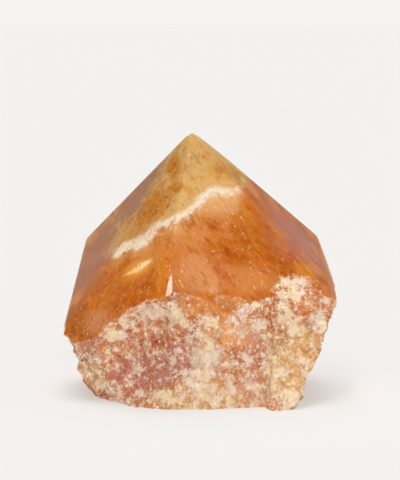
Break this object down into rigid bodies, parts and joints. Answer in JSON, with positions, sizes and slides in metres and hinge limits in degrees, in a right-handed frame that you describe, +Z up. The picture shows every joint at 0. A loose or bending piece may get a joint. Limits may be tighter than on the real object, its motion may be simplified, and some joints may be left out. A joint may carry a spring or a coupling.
{
  "type": "raw honey onyx point",
  "caption": "Lump of banded orange calcite with a flat sawn base, rough broken sides and a top ground into polished faces that meet in a point.",
  "frame": {"origin": "middle of the stone's box in plan, at the height of the flat base", "axes": "+Z up through the polished point; -Y is the front, where two large polished faces meet in an edge; +X is to the right seen from the front"},
  "size_m": [0.0914, 0.0786, 0.0869],
  "materials": {
    "honey_onyx": "polished top, rough sugary sides"
  },
  "bodies": {
    "root": {"stone": "honey_onyx"}
  },
  "joints": []
}
